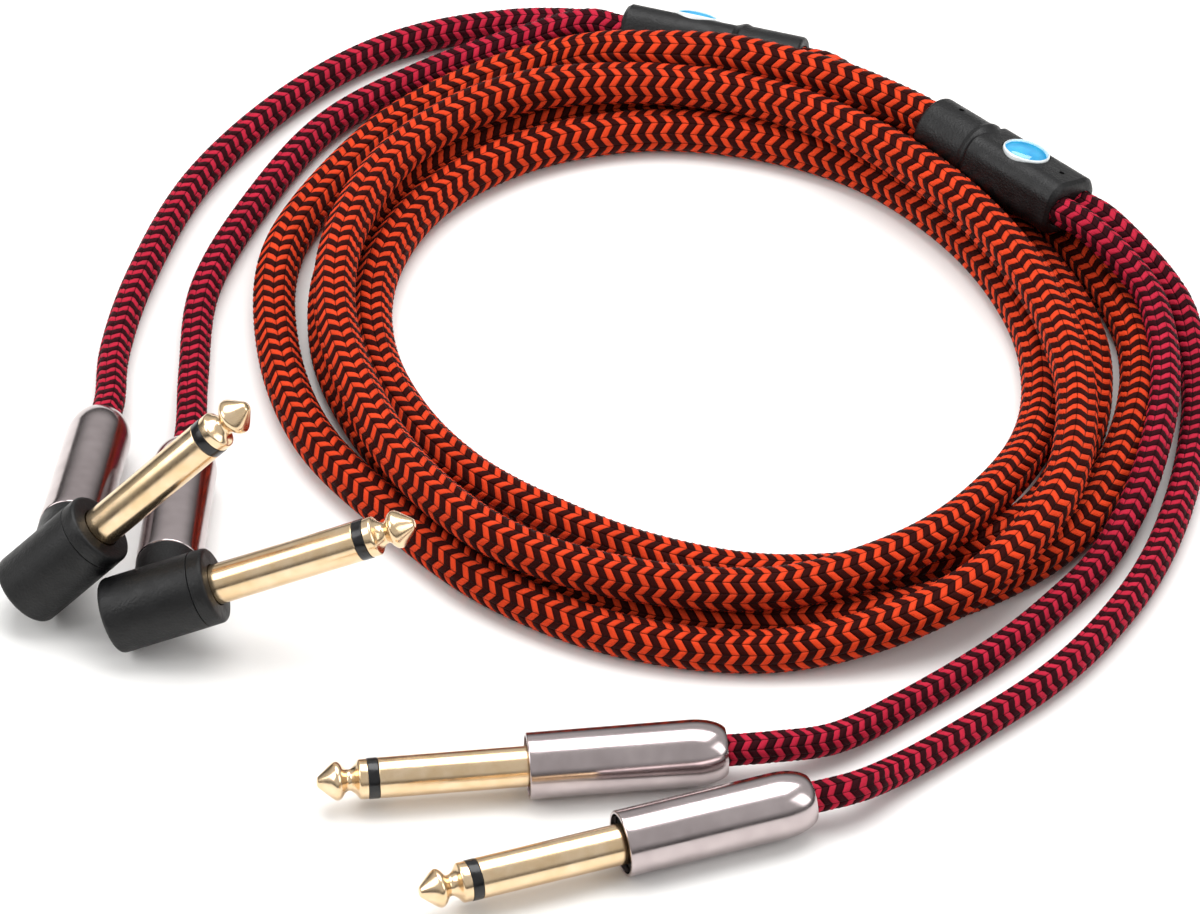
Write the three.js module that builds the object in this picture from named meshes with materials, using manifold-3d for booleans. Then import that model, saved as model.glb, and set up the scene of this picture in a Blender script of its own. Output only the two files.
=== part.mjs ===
// A Y-to-Y instrument cable: a coiled braided trunk between two splitters, each of which
// feeds two thinner braided legs. One pair of legs ends in straight jack plugs, the other
// pair in right-angle jack plugs. Millimetres, +Z up, lying on the plane z = 0, with the
// origin under the middle of the plugs and splitters.
import * as THREE from 'three';
import { mergeVertices } from 'three/addons/utils/BufferGeometryUtils.js';
import Module from 'manifold-3d';

const wasm = await Module();
wasm.setup();

// ---- clearances and facets ------------------------------------------------------------
const GAP = 0.3;            // between pieces that touch
const ROUND = 16;           // sides of a turned piece
const SMALL_ROUND = 10;     // sides of a small turned piece

// ---- cords ----------------------------------------------------------------------------
const TRUNK_RADIUS = 3.35;
const LEG_RADIUS = 2.4;
const TRUNK_SIDES = 10;
const LEG_SIDES = 8;
const TUBE_STEP = 10;       // length of one step along a cord's tube
const CORE_RADIUS = 0.7;    // insulated centre conductor

// ---- jack plug ------------------------------------------------------------------------
const SLEEVE_RADIUS = 3.175;      // a 6.35 mm plug
const STRAIGHT_EXPOSED = 32.2;    // pin outside the barrel of a straight plug
const ANGLED_EXPOSED = 33.5;      // pin outside the elbow of a right-angle plug
const TIP_LENGTH = 7.6;           // tip contact, from its point to the insulator
const RING_LENGTH = 1.7;          // black insulating ring
const TIP_WIDEST = 3.05;          // radius of the tip's ball
const TIP_NECK = 1.5;             // radius of the groove behind the ball
const ROD_RADIUS = 0.9;           // rod from the tip to its solder lug
const LUG_THICKNESS = 0.5;

// ---- screw-on barrel ------------------------------------------------------------------
const BARREL_RADIUS = 5.2;
const BARREL_LENGTH = 30.5;
const BARREL_WALL = 0.55;
const BARREL_DOME = 5.5;            // length of the rounded rear
const SHANK_LENGTH = 9;           // threaded length inside the barrel
const LINER_WALL = 0.35;
const LINER_SHORT = 1;            // by which the liner ends before the barrel's dome
const CLAMP_WALL = 0.5;
const CLAMP_LENGTH = 4;
const CORD_INSIDE = 15;           // where the leg's braid ends, behind the barrel's front

// ---- elbow of the right-angle plug ----------------------------------------------------
const ELBOW_RADIUS = 6;
const ELBOW_REAR = 8.7;           // from the barrel's axis back to the closed end
const ELBOW_FRONT = 8.9;          // from the barrel's axis forward to the pin's face
const NOSE_LENGTH = 2.5;          // the front ring, beyond the groove
const NECK_HEIGHT = 8.9;          // from the pin's axis to the barrel's rim
const ELBOW_BORE = 4.8;
const NECK_BORE = 3.4;

// ---- splitter -------------------------------------------------------------------------
const SPLIT_LENGTH = 30;
const COLLAR_LENGTH = 10.5;
const COLLAR_RADIUS = 5;
const SPLIT_WIDTH = 11.2;
const SPLIT_THICKNESS = 9.2;
const SPLIT_CORNER = 3.2;
const LEG_SPACING = 5.1;          // between the two legs' axes
const CAVITY_LENGTH = 8;
const CAVITY_WIDTH = 8;
const CAVITY_HEIGHT = 4.8;
const BADGE_PLACE = 18.8;         // from the trunk's end to the badge's middle
const BADGE_RADIUS = 3.9;
const BADGE_THICKNESS = 1.8;
const BADGE_SUNK = 0.6;

// ---- coil of the trunk ----------------------------------------------------------------
const COIL_CENTRE = [23.3, 22.8];
const COIL_OVAL = 0.095;          // part by which the coil is longer along its long axis
const COIL_AXIS = 140;            // direction of the long axis, degrees
const FLOOR_INNER = 48;           // lower layer of turns
const FLOOR_OUTER = 67.5;
const UPPER_INNER = 51.5;         // turns that lie on the lower layer
const UPPER_OUTER = 61.5;
const BULGE = 4.5;                // by which the lowest turn spreads on one side
const BULGE_TOWARDS = -88;
const BULGE_SPREAD = 38;
const COIL_STEPS = 48;

// ---- where the pieces lie -------------------------------------------------------------
// heading: direction from the pin towards the cord, degrees from +X; dip: how far the cord
// end leans down; roll: how far a right-angle pin is turned up about its barrel.
const STRAIGHT_PLUGS = [
  { name: 'plug1', at: [-4.6, -77.1, BARREL_RADIUS], heading: 6.6 },
  { name: 'plug2', at: [9.6, -94.5, BARREL_RADIUS], heading: 19.5 },
];
const ANGLED_PLUGS = [
  { name: 'plug3', at: [-60.8, -43.6, 9], heading: 86.4, dip: 6, roll: 23 },
  { name: 'plug4', at: [-76.6, -35.8, 10.5], heading: 82.9, dip: 8.5, roll: 47 },
];
const SPLITTERS = [
  { name: 'splitter1', at: [39.3, 90.5, 5.9], heading: 161.7, roll: 41 },
  { name: 'splitter2', at: [60.3, 68.7, 11.7], heading: -44.3, roll: -20 },
];

// Hand-laid points of the cords between the pieces that hold them.
const LEAD_IN = [[47, 87.4, 4.4], [54.5, 81.2, 3.5], [62, 73.5, 3.4], [68.5, 64.5, 3.4]];
const LEAD_OUT = [[-30, 74.5, 3.4], [-22, 83, 3.4], [-12, 89.3, 4.2], [-1, 92.6, 5.8],
  [7, 90.8, 9], [13.5, 88, 11.4], [19.5, 86.5, 12.5], [26, 85.8, 12.7], [31, 84.3, 12.8],
  [38.5, 81.6, 12.7], [46.5, 78, 12.5]];
const LEG_ROUTES = [
  { name: 'leg1', plug: 'plug1', splitter: 'splitter2', side: -1,
    points: [[42, -69.2, 3.6], [53, -60.8, 2.6], [68.2, -47.6, 2.6], [77.8, -36.5, 2.6],
      [84.4, -27.4, 3], [90.2, -15.5, 5], [93.8, -2.9, 6.5], [95.6, 9, 7.4], [95.5, 19.5, 8],
      [93.2, 30.6, 9.2]] },
  { name: 'leg2', plug: 'plug2', splitter: 'splitter2', side: 1,
    points: [[50.5, -77, 3.5], [60.5, -68.4, 2.6], [75.7, -54.5, 2.6], [84.5, -43, 2.6],
      [92, -29, 2.6], [97.3, -12.5, 2.6], [100.5, 6.6, 2.6], [100.6, 21.2, 2.6],
      [98.2, 33, 5]] },
  { name: 'leg3', plug: 'plug3', splitter: 'splitter1', side: 1,
    points: [[-57.9, 17.5, 2.7], [-56.6, 38.4, 2.6], [-48.4, 60.9, 2.6], [-37.4, 80, 2.6],
      [-22.9, 92, 2.7], [-6.6, 99, 4.6]] },
  { name: 'leg4', plug: 'plug4', splitter: 'splitter1', side: -1,
    points: [[-70.6, 22.5, 2.6], [-67.1, 40.9, 2.6], [-58.2, 66, 2.6], [-42.5, 88, 2.6],
      [-26.3, 100.7, 2.6], [-8, 106, 2.6]] },
];

// ---- materials ------------------------------------------------------------------------
function finish(color, roughness, metalness) {
  return () => new THREE.MeshStandardMaterial({ color, roughness, metalness });
}
const GOLD = finish(0xe9cf8c, 0.18, 1);
const DARK_CHROME = finish(0x8f8688, 0.12, 1);
const TINNED = finish(0xb9b9b4, 0.35, 1);
const BLACK_PLASTIC = finish(0x232325, 0.6, 0);
const GLOSS_BLACK = finish(0x17171a, 0.25, 0);
const CLEAR_LINER = finish(0xd8d8d2, 0.3, 0);
const ORANGE_BRAID = finish(0xd9482a, 0.85, 0);
const CRIMSON_BRAID = finish(0xb8304a, 0.85, 0);
const BLUE_BADGE = finish(0x2aa7d0, 0.2, 0);
const COPPER = finish(0xb87348, 0.35, 1);

// ---- solids ---------------------------------------------------------------------------
function toSolid(geometry) {
  const bare = geometry.clone();
  bare.deleteAttribute('normal');
  bare.deleteAttribute('uv');
  const merged = mergeVertices(bare, 1e-4);
  return new wasm.Manifold(new wasm.Mesh({
    numProp: 3,
    vertProperties: new Float32Array(merged.attributes.position.array),
    triVerts: new Uint32Array(merged.index.array),
  }));
}

function toGeometry(solid) {
  const mesh = solid.getMesh();
  const geometry = new THREE.BufferGeometry();
  geometry.setAttribute('position', new THREE.BufferAttribute(mesh.vertProperties, 3));
  geometry.setIndex(new THREE.BufferAttribute(mesh.triVerts, 1));
  geometry.computeVertexNormals();
  return geometry;
}

function join(...geometries) {
  return toGeometry(geometries.map(toSolid).reduce((all, next) => all.add(next)));
}

function cut(geometry, ...tools) {
  return toGeometry(tools.map(toSolid).reduce((rest, tool) => rest.subtract(tool), toSolid(geometry)));
}

// A turned piece about the X axis, from [x, radius] points, in either order, that close on
// themselves or start and end on the axis.
function turned(points, sides = ROUND) {
  const profile = points.map(([x, radius]) => new THREE.Vector2(radius, x));
  if (THREE.ShapeUtils.area(profile) < 0) profile.reverse();
  return new THREE.LatheGeometry(profile, sides).rotateZ(-Math.PI / 2);
}

function rod(from, to, radius, sides = ROUND) {
  return turned([[from, 0], [from, radius], [to, radius], [to, 0]], sides);
}

function hollow(from, to, inner, outer, sides = ROUND) {
  return turned([[from, inner], [from, outer], [to, outer], [to, inner], [from, inner]], sides);
}

function block(low, high) {
  const size = high.map((value, axis) => value - low[axis]);
  const middle = high.map((value, axis) => (value + low[axis]) / 2);
  return new THREE.BoxGeometry(...size).translate(...middle);
}

function circle(radius, sides) {
  const shape = new THREE.Shape();
  for (let side = 0; side < sides; side += 1) {
    const angle = 2 * Math.PI * side / sides;
    const method = side === 0 ? 'moveTo' : 'lineTo';
    shape[method](radius * Math.cos(angle), radius * Math.sin(angle));
  }
  shape.closePath();
  return shape;
}

function tube(points, radius, sides, step = TUBE_STEP) {
  const path = new THREE.CatmullRomCurve3(points.map((p) => new THREE.Vector3(...p)));
  const steps = Math.max(2, Math.round(path.getLength() / step));
  return new THREE.ExtrudeGeometry(circle(radius, sides),
    { steps, bevelEnabled: false, extrudePath: path });
}

// ---- placing --------------------------------------------------------------------------
const model = new THREE.Group();
const placed = {};

function add(group, name, geometry, material) {
  const mesh = new THREE.Mesh(geometry, material());
  mesh.name = name;
  group.add(mesh);
}

const radians = THREE.MathUtils.degToRad;

// A group whose +X points at the pin's tip. A straight plug's cord leaves along -X.
function placeStraight({ name, at, heading }) {
  const group = new THREE.Group();
  group.position.set(...at);
  group.rotation.z = radians(heading + 180);
  group.updateMatrix();
  placed[name] = { group, barrel: new THREE.Matrix4() };
  model.add(group);
  return group;
}

// A group whose +Y points along the barrel and whose +X points at the pin's tip.
function placeAngled({ name, at, heading, dip, roll }) {
  const group = new THREE.Group();
  const out = new THREE.Vector3(Math.cos(radians(heading)) * Math.cos(radians(dip)),
    Math.sin(radians(heading)) * Math.cos(radians(dip)), -Math.sin(radians(dip)));
  const level = new THREE.Vector3(out.y, -out.x, 0).normalize();
  const pin = level.applyAxisAngle(out, -radians(roll));
  const side = new THREE.Vector3().crossVectors(pin, out);
  const basis = new THREE.Matrix4().makeBasis(pin, out, side);
  group.quaternion.setFromRotationMatrix(basis);
  group.position.set(...at);
  group.updateMatrix();
  const barrel = new THREE.Matrix4().makeRotationZ(-Math.PI / 2).setPosition(0, NECK_HEIGHT, 0);
  placed[name] = { group, barrel };
  model.add(group);
  return group;
}

// A group whose +X runs from the trunk's end to the legs' end and whose +Z is the badge's.
function placeSplitter({ name, at, heading, roll }) {
  const group = new THREE.Group();
  group.position.set(...at);
  group.rotation.set(radians(roll), 0, radians(heading), 'ZYX');
  group.updateMatrix();
  placed[name] = { group };
  model.add(group);
  return group;
}

function worldPoint(name, local, inBarrel = false) {
  const point = new THREE.Vector3(...local);
  if (inBarrel) point.applyMatrix4(placed[name].barrel);
  return point.applyMatrix4(placed[name].group.matrix).toArray();
}

// ---- pin: tip, insulator and sleeve ---------------------------------------------------
// All take the x of the pin's point and of the rear end inside the plug.
function tipContact(point, rear) {
  const back = point - TIP_LENGTH;
  return turned([[point, 0], [point - 0.15, 0.55], [point - 2.6, TIP_WIDEST - 0.1],
    [point - 3, TIP_WIDEST], [point - 3.5, TIP_WIDEST - 0.2], [point - 4.2, TIP_NECK + 0.4],
    [point - 4.6, TIP_NECK], [point - 5, TIP_NECK + 0.2], [point - 5.4, TIP_NECK],
    [point - 6, 2.3], [point - 6.4, SLEEVE_RADIUS - 0.08], [back, SLEEVE_RADIUS - 0.08],
    [back, ROD_RADIUS], [rear, ROD_RADIUS], [rear, 0]]);
}

function tipInsulator(point, rear) {
  const front = point - TIP_LENGTH - GAP;
  const back = front - RING_LENGTH;
  const bore = ROD_RADIUS + GAP;
  const wall = bore + 0.7;
  return turned([[front, bore], [front, SLEEVE_RADIUS], [back, SLEEVE_RADIUS], [back, wall],
    [rear, wall], [rear, bore], [front, bore]]);
}

function sleeveStart(point) {
  return point - TIP_LENGTH - RING_LENGTH - 2 * GAP;
}

function sleeveContact(point, flangeFront, flangeRadius, rear) {
  const front = sleeveStart(point);
  const bore = ROD_RADIUS + 2 * GAP + 0.7;
  return turned([[front, bore], [front, SLEEVE_RADIUS], [flangeFront, SLEEVE_RADIUS],
    [flangeFront, flangeRadius], [rear, flangeRadius], [rear, bore], [front, bore]]);
}

// A washer on the rod with a tab that the centre conductor is soldered to.
function tipLug(front, tabLow, tabHigh) {
  const eye = hollow(front - LUG_THICKNESS, front, ROD_RADIUS + GAP, ROD_RADIUS + 1.4, SMALL_ROUND);
  return join(eye, block(tabLow, tabHigh));
}

// ---- barrel and what is in it ---------------------------------------------------------
// The barrel's front is at x = 0 and its cord leaves along -X.
const BORE = BARREL_RADIUS - BARREL_WALL;
const SHANK_RADIUS = BORE - GAP;
const CORD_HOLE = LEG_RADIUS + 0.4;
const CLAMP_INNER = LEG_RADIUS + 0.35;
const CLAMP_STRIP = CLAMP_INNER + 0.05;             // from the axis to the strip's underside
const REAR_WASHER = CLAMP_STRIP - GAP;

function barrelShell() {
  const rear = -BARREL_LENGTH;
  const points = [[0, BORE], [0, BARREL_RADIUS - 0.25], [-0.3, BARREL_RADIUS]];
  const domeStart = rear + BARREL_DOME;
  const steps = 5;
  for (let step = 0; step <= steps; step += 1) {
    const angle = step / steps * radians(68);
    points.push([domeStart - BARREL_DOME * Math.sin(angle) / Math.sin(radians(68)),
      CORD_HOLE + (BARREL_RADIUS - CORD_HOLE) * Math.cos(angle)]);
  }
  points.push([rear, CORD_HOLE]);
  points.push([rear + 1.4, CORD_HOLE]);
  points.push([domeStart + 0.5, BORE]);
  points.push([0, BORE]);
  return turned(points);
}

function groundClamp() {
  const outer = CLAMP_INNER + CLAMP_WALL;
  const front = -SHANK_LENGTH - GAP;
  const ringFront = -CORD_INSIDE - 1;
  const ring = hollow(ringFront - CLAMP_LENGTH, ringFront, CLAMP_INNER, outer);
  const strip = block([ringFront - 1, -1.2, CLAMP_STRIP], [front, 1.2, outer]);
  return join(ring, strip);
}

function addBarrel(group, name) {
  const linerFront = -SHANK_LENGTH - 1;
  const linerRear = -BARREL_LENGTH + BARREL_DOME + LINER_SHORT;
  const linerOuter = BORE - GAP;
  add(group, `${name}_barrel`, barrelShell(), DARK_CHROME);
  add(group, `${name}_liner`,
    hollow(linerRear, linerFront, linerOuter - LINER_WALL, linerOuter), CLEAR_LINER);
  add(group, `${name}_cord_clamp`, groundClamp(), TINNED);
}

// ---- straight plug --------------------------------------------------------------------
const FACE_FRONT = -0.9;
const FACE_THICKNESS = 1.4;

function addStraightPlug(place) {
  const group = placeStraight(place);
  const { name } = place;
  const point = STRAIGHT_EXPOSED;
  const flange = FACE_FRONT - FACE_THICKNESS - GAP;
  const rear = -SHANK_LENGTH;
  const lugFront = rear - 1.6 - GAP;
  add(group, `${name}_tip_contact`, tipContact(point, lugFront - 0.8), GOLD);
  add(group, `${name}_tip_insulator`, tipInsulator(point, rear), GLOSS_BLACK);
  add(group, `${name}_sleeve_contact`, sleeveContact(point, flange, SHANK_RADIUS, rear), GOLD);
  add(group, `${name}_face_ring`,
    hollow(FACE_FRONT - FACE_THICKNESS, FACE_FRONT, SLEEVE_RADIUS + GAP, SHANK_RADIUS), BLACK_PLASTIC);
  add(group, `${name}_rear_insulator`,
    hollow(rear - 1.3, rear - GAP, ROD_RADIUS + GAP, REAR_WASHER, SMALL_ROUND), BLACK_PLASTIC);
  const tabLow = [lugFront - 3.4, -1, -ROD_RADIUS - 1.3];
  const tabHigh = [lugFront - 0.1, 1, -ROD_RADIUS - 0.9];
  add(group, `${name}_tip_lug`, tipLug(lugFront, tabLow, tabHigh), TINNED);
  const wire = rod(-CORD_INSIDE + GAP, lugFront - LUG_THICKNESS - 0.6, CORE_RADIUS, 8);
  add(group, `${name}_core_wire`, wire.translate(0, 0, tabHigh[2] + CORE_RADIUS + 0.2), COPPER);
  addBarrel(group, name);
}

// ---- right-angle plug -----------------------------------------------------------------
function alongBarrel(geometry) {
  return geometry.rotateZ(-Math.PI / 2);
}

function elbowHousing() {
  const nose = ELBOW_FRONT - NOSE_LENGTH - GAP;
  const body = turned([[-ELBOW_REAR, 0], [-ELBOW_REAR, ELBOW_RADIUS - 1],
    [-ELBOW_REAR + 0.3, ELBOW_RADIUS - 0.3], [-ELBOW_REAR + 1, ELBOW_RADIUS],
    [nose - 0.4, ELBOW_RADIUS], [nose, ELBOW_RADIUS - 0.4], [nose, 0]]);
  const neck = alongBarrel(rod(-NECK_HEIGHT + GAP, 0, BARREL_RADIUS));
  const shank = alongBarrel(rod(-NECK_HEIGHT - SHANK_LENGTH, -NECK_HEIGHT + 1, SHANK_RADIUS));
  const bore = rod(-ELBOW_REAR + 2, ELBOW_FRONT, ELBOW_BORE);
  const neckBore = alongBarrel(rod(-NECK_HEIGHT - SHANK_LENGTH - 1, 0, NECK_BORE));
  return cut(join(body, neck, shank), bore, neckBore);
}

function elbowNose() {
  const rear = ELBOW_FRONT - NOSE_LENGTH;
  const floor = ELBOW_FRONT - 1.2;
  const hole = SLEEVE_RADIUS + GAP;
  const recess = SLEEVE_RADIUS + 1.1;
  return turned([[rear, hole], [rear, ELBOW_RADIUS - 0.4], [rear + 0.4, ELBOW_RADIUS],
    [ELBOW_FRONT - 0.5, ELBOW_RADIUS], [ELBOW_FRONT, ELBOW_RADIUS - 0.5], [ELBOW_FRONT, recess],
    [floor, recess], [floor, hole], [rear, hole]]);
}

function addAngledPlug(place) {
  const group = placeAngled(place);
  const { name } = place;
  const point = ELBOW_FRONT + ANGLED_EXPOSED;
  const rear = -2.6;
  const lugFront = rear - 1.3 - GAP;
  add(group, `${name}_tip_contact`, tipContact(point, lugFront - 0.8), GOLD);
  add(group, `${name}_tip_insulator`, tipInsulator(point, rear), GLOSS_BLACK);
  add(group, `${name}_sleeve_contact`,
    sleeveContact(point, ELBOW_FRONT - NOSE_LENGTH - GAP, ELBOW_BORE - GAP, rear + 4), GOLD);
  add(group, `${name}_elbow_housing`, elbowHousing(), BLACK_PLASTIC);
  add(group, `${name}_elbow_nose`, elbowNose(), BLACK_PLASTIC);
  add(group, `${name}_rear_insulator`,
    hollow(rear - 1.3, rear - GAP, ROD_RADIUS + GAP, REAR_WASHER, SMALL_ROUND), BLACK_PLASTIC);
  const tabLow = [lugFront - LUG_THICKNESS, ROD_RADIUS + 0.9, -1];
  const tabHigh = [lugFront, ROD_RADIUS + 3, 1];
  add(group, `${name}_tip_lug`, tipLug(lugFront, tabLow, tabHigh), TINNED);
  const inside = NECK_HEIGHT + CORD_INSIDE;
  const wireX = -NECK_BORE + CORE_RADIUS + GAP;
  const wire = tube([[wireX, inside - GAP, 0], [wireX, inside / 2, 0],
    [wireX, ROD_RADIUS + 3.4, 0]], CORE_RADIUS, 8, inside / 2);
  add(group, `${name}_core_wire`, wire, COPPER);
  const barrelGroup = new THREE.Group();
  barrelGroup.position.y = NECK_HEIGHT;
  barrelGroup.rotation.z = -Math.PI / 2;
  group.add(barrelGroup);
  addBarrel(barrelGroup, name);
}

// ---- splitter -------------------------------------------------------------------------
function roundedBar(from, to, width, thickness, corner) {
  const w = width / 2;
  const t = thickness / 2;
  const c = Math.min(corner, w, t);
  const shape = new THREE.Shape();
  shape.moveTo(-w + c, -t);
  shape.lineTo(w - c, -t);
  shape.absarc(w - c, -t + c, c, -Math.PI / 2, 0, false);
  shape.absarc(w - c, t - c, c, 0, Math.PI / 2, false);
  shape.absarc(-w + c, t - c, c, Math.PI / 2, Math.PI, false);
  shape.absarc(-w + c, -t + c, c, Math.PI, 1.5 * Math.PI, false);
  const bar = new THREE.ExtrudeGeometry(shape,
    { depth: to - from, steps: 1, curveSegments: 4, bevelEnabled: false });
  const turn = new THREE.Matrix4().makeBasis(new THREE.Vector3(0, 1, 0),
    new THREE.Vector3(0, 0, 1), new THREE.Vector3(1, 0, 0));
  return bar.applyMatrix4(turn).translate(from, 0, 0);
}

function splitterOutside(grow = 0) {
  const collar = rod(-grow, COLLAR_LENGTH + 1, COLLAR_RADIUS + grow);
  const body = roundedBar(COLLAR_LENGTH - grow, SPLIT_LENGTH + grow, SPLIT_WIDTH + 2 * grow,
    SPLIT_THICKNESS + 2 * grow, SPLIT_CORNER + grow);
  return join(collar, body);
}

const BEYOND = 20;                                  // by which a cutting block clears the shell
const TRUNK_INSIDE = COLLAR_LENGTH - 2;             // where the trunk's braid ends
const LEG_INSIDE = COLLAR_LENGTH + CAVITY_LENGTH + 2;

function splitterShell(upper) {
  const trunkBore = rod(-1, COLLAR_LENGTH, TRUNK_RADIUS + GAP);
  const w = CAVITY_WIDTH / 2;
  const t = CAVITY_HEIGHT / 2;
  const cavity = block([COLLAR_LENGTH - 1, -w, -t], [COLLAR_LENGTH + CAVITY_LENGTH + 1, w, t]);
  const legBores = [-1, 1].map((side) => rod(COLLAR_LENGTH + CAVITY_LENGTH, SPLIT_LENGTH + 1,
    LEG_RADIUS + GAP, SMALL_ROUND).translate(0, side * LEG_SPACING / 2, 0));
  const top = SPLIT_THICKNESS / 2;
  const seat = rod(top - BADGE_SUNK - GAP, top + 1, BADGE_RADIUS + GAP).rotateY(-Math.PI / 2);
  seat.translate(BADGE_PLACE, 0, 0);
  const far = SPLIT_LENGTH + BEYOND;
  const half = upper ? block([-BEYOND, -BEYOND, -BEYOND], [far, BEYOND, GAP / 2])
    : block([-BEYOND, -BEYOND, -GAP / 2], [far, BEYOND, BEYOND]);
  return cut(splitterOutside(), trunkBore, cavity, ...legBores, seat, half);
}

function badge() {
  const low = SPLIT_THICKNESS / 2 - BADGE_SUNK;
  const high = low + BADGE_THICKNESS;
  const dome = turned([[low, 0], [low, BADGE_RADIUS], [high - 1, BADGE_RADIUS],
    [high - 0.4, BADGE_RADIUS * 0.8], [high - 0.1, BADGE_RADIUS * 0.4], [high, 0]]);
  return dome.rotateY(-Math.PI / 2).translate(BADGE_PLACE, 0, 0);
}

function addSplitter(place) {
  const group = placeSplitter(place);
  const { name } = place;
  add(group, `${name}_lower_shell`, splitterShell(false), BLACK_PLASTIC);
  add(group, `${name}_upper_shell`, splitterShell(true), BLACK_PLASTIC);
  add(group, `${name}_badge`, badge(), BLUE_BADGE);
  const ferrule = rod(TRUNK_INSIDE + 3, LEG_INSIDE - 1.5, 1.6, SMALL_ROUND);
  add(group, `${name}_splice_ferrule`, ferrule, COPPER);
}

// ---- cords ----------------------------------------------------------------------------
function legTube(route) {
  const barrelEnd = -BARREL_LENGTH;
  const atPlug = [-CORD_INSIDE, (barrelEnd - CORD_INSIDE) / 2, barrelEnd, barrelEnd - 7]
    .map((x) => worldPoint(route.plug, [x, 0, 0], true));
  const y = route.side * LEG_SPACING / 2;
  const atSplitter = [SPLIT_LENGTH + 6, SPLIT_LENGTH, LEG_INSIDE]
    .map((x) => worldPoint(route.splitter, [x, y, 0]));
  return tube([...atPlug, ...route.points, ...atSplitter], LEG_RADIUS, LEG_SIDES);
}

function leadIn(radius, extra = 0) {
  const inside = [TRUNK_INSIDE, 0, -4].map((x) => worldPoint('splitter1', [x, 0, 0]));
  const points = [...inside, ...LEAD_IN];
  if (extra) points.push(beyond(points.at(-2), points.at(-1), extra));
  return tube(points, radius, TRUNK_SIDES);
}

function leadOut(radius, extra = 0) {
  const inside = [-4, 0, TRUNK_INSIDE].map((x) => worldPoint('splitter2', [x, 0, 0]));
  const points = [...LEAD_OUT, ...inside];
  if (extra) points.unshift(beyond(points[1], points[0], extra));
  return tube(points, radius, TRUNK_SIDES);
}

function beyond(from, to, extra) {
  const a = new THREE.Vector3(...from);
  const b = new THREE.Vector3(...to);
  return b.clone().add(b.clone().sub(a).setLength(extra)).toArray();
}

// The coil's turns as one ring: a lower layer with a narrower layer on it, drawn out to
// an oval along its long axis, with the lower layer spread on the side nearest the plugs.
function coilRing() {
  const d = 2 * TRUNK_RADIUS;
  const ease = TRUNK_RADIUS * 0.3;
  const top = 2 * d - 0.2;
  const half = d / 2;
  const profile = [[FLOOR_INNER + ease, 0], [FLOOR_OUTER - ease, 0], [FLOOR_OUTER, ease],
    [FLOOR_OUTER, d - ease], [FLOOR_OUTER - ease, d], [UPPER_OUTER, d],
    [UPPER_OUTER, top - ease], [UPPER_OUTER - ease, top], [UPPER_INNER + ease, top],
    [UPPER_INNER, top - ease], [UPPER_INNER, d], [FLOOR_INNER + ease, d],
    [FLOOR_INNER, half + ease], [FLOOR_INNER, ease], [FLOOR_INNER + ease, 0]];
  const ring = new THREE.LatheGeometry(profile.map(([r, z]) => new THREE.Vector2(r, z)), COIL_STEPS);
  ring.rotateX(Math.PI / 2);
  const position = ring.attributes.position;
  for (let index = 0; index < position.count; index += 1) {
    const angle = Math.atan2(position.getY(index), position.getX(index));
    const radius = Math.hypot(position.getX(index), position.getY(index));
    const away = (angle - radians(BULGE_TOWARDS)) / radians(BULGE_SPREAD);
    const bulge = radius > UPPER_OUTER + 1 ? BULGE * Math.exp(-away * away) : 0;
    const oval = 1 + COIL_OVAL * Math.cos(2 * (angle - radians(COIL_AXIS)));
    const scale = oval + bulge / radius;
    position.setX(index, position.getX(index) * scale);
    position.setY(index, position.getY(index) * scale);
  }
  return ring.translate(COIL_CENTRE[0], COIL_CENTRE[1], 0);
}

// The ring is grooved where the trunk's two ends join it and where a splitter lies on it.
function coil() {
  const tools = [leadIn(TRUNK_RADIUS + GAP, GAP), leadOut(TRUNK_RADIUS + GAP, GAP)];
  for (const { name } of SPLITTERS) {
    tools.push(splitterOutside(GAP).applyMatrix4(placed[name].group.matrix));
  }
  return cut(coilRing(), ...tools);
}

STRAIGHT_PLUGS.forEach(addStraightPlug);
ANGLED_PLUGS.forEach(addAngledPlug);
SPLITTERS.forEach(addSplitter);
LEG_ROUTES.forEach((route) => add(model, `${route.name}_cord`, legTube(route), CRIMSON_BRAID));
add(model, 'trunk_lead_in', leadIn(TRUNK_RADIUS), ORANGE_BRAID);
add(model, 'trunk_lead_out', leadOut(TRUNK_RADIUS), ORANGE_BRAID);
add(model, 'trunk_coil', coil(), ORANGE_BRAID);

export default model;
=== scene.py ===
"""A braided Y-to-Y instrument cable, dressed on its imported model.

The trunk and the four legs are braided by one Geometry Nodes tree that follows each cord's
route. Plugs, elbows and splitters are turned and moulded smooth in the places that the model
gives them. Everything is in metres, in the model's own frame.
"""
from math import ceil, cos, pi, radians, sin, sqrt

import bmesh
import bpy
from mathutils import Matrix, Vector


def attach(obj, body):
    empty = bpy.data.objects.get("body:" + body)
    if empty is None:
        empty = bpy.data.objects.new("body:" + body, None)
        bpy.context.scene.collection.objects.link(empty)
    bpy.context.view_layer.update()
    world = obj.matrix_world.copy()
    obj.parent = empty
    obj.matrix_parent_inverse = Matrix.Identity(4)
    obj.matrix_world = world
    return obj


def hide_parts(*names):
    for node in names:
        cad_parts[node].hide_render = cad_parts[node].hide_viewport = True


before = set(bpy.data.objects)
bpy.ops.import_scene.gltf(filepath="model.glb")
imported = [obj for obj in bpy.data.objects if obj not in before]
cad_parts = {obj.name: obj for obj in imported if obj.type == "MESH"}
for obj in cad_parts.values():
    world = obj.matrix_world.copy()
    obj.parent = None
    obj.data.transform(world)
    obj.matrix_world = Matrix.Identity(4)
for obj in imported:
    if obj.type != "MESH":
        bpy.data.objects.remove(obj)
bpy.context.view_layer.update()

MM = 0.001
BASE = "cable"                      # the body that everything but the barrels rides on


def point(x, y, z):
    """A place given in millimetres."""
    return Vector((x, y, z)) * MM


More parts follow.
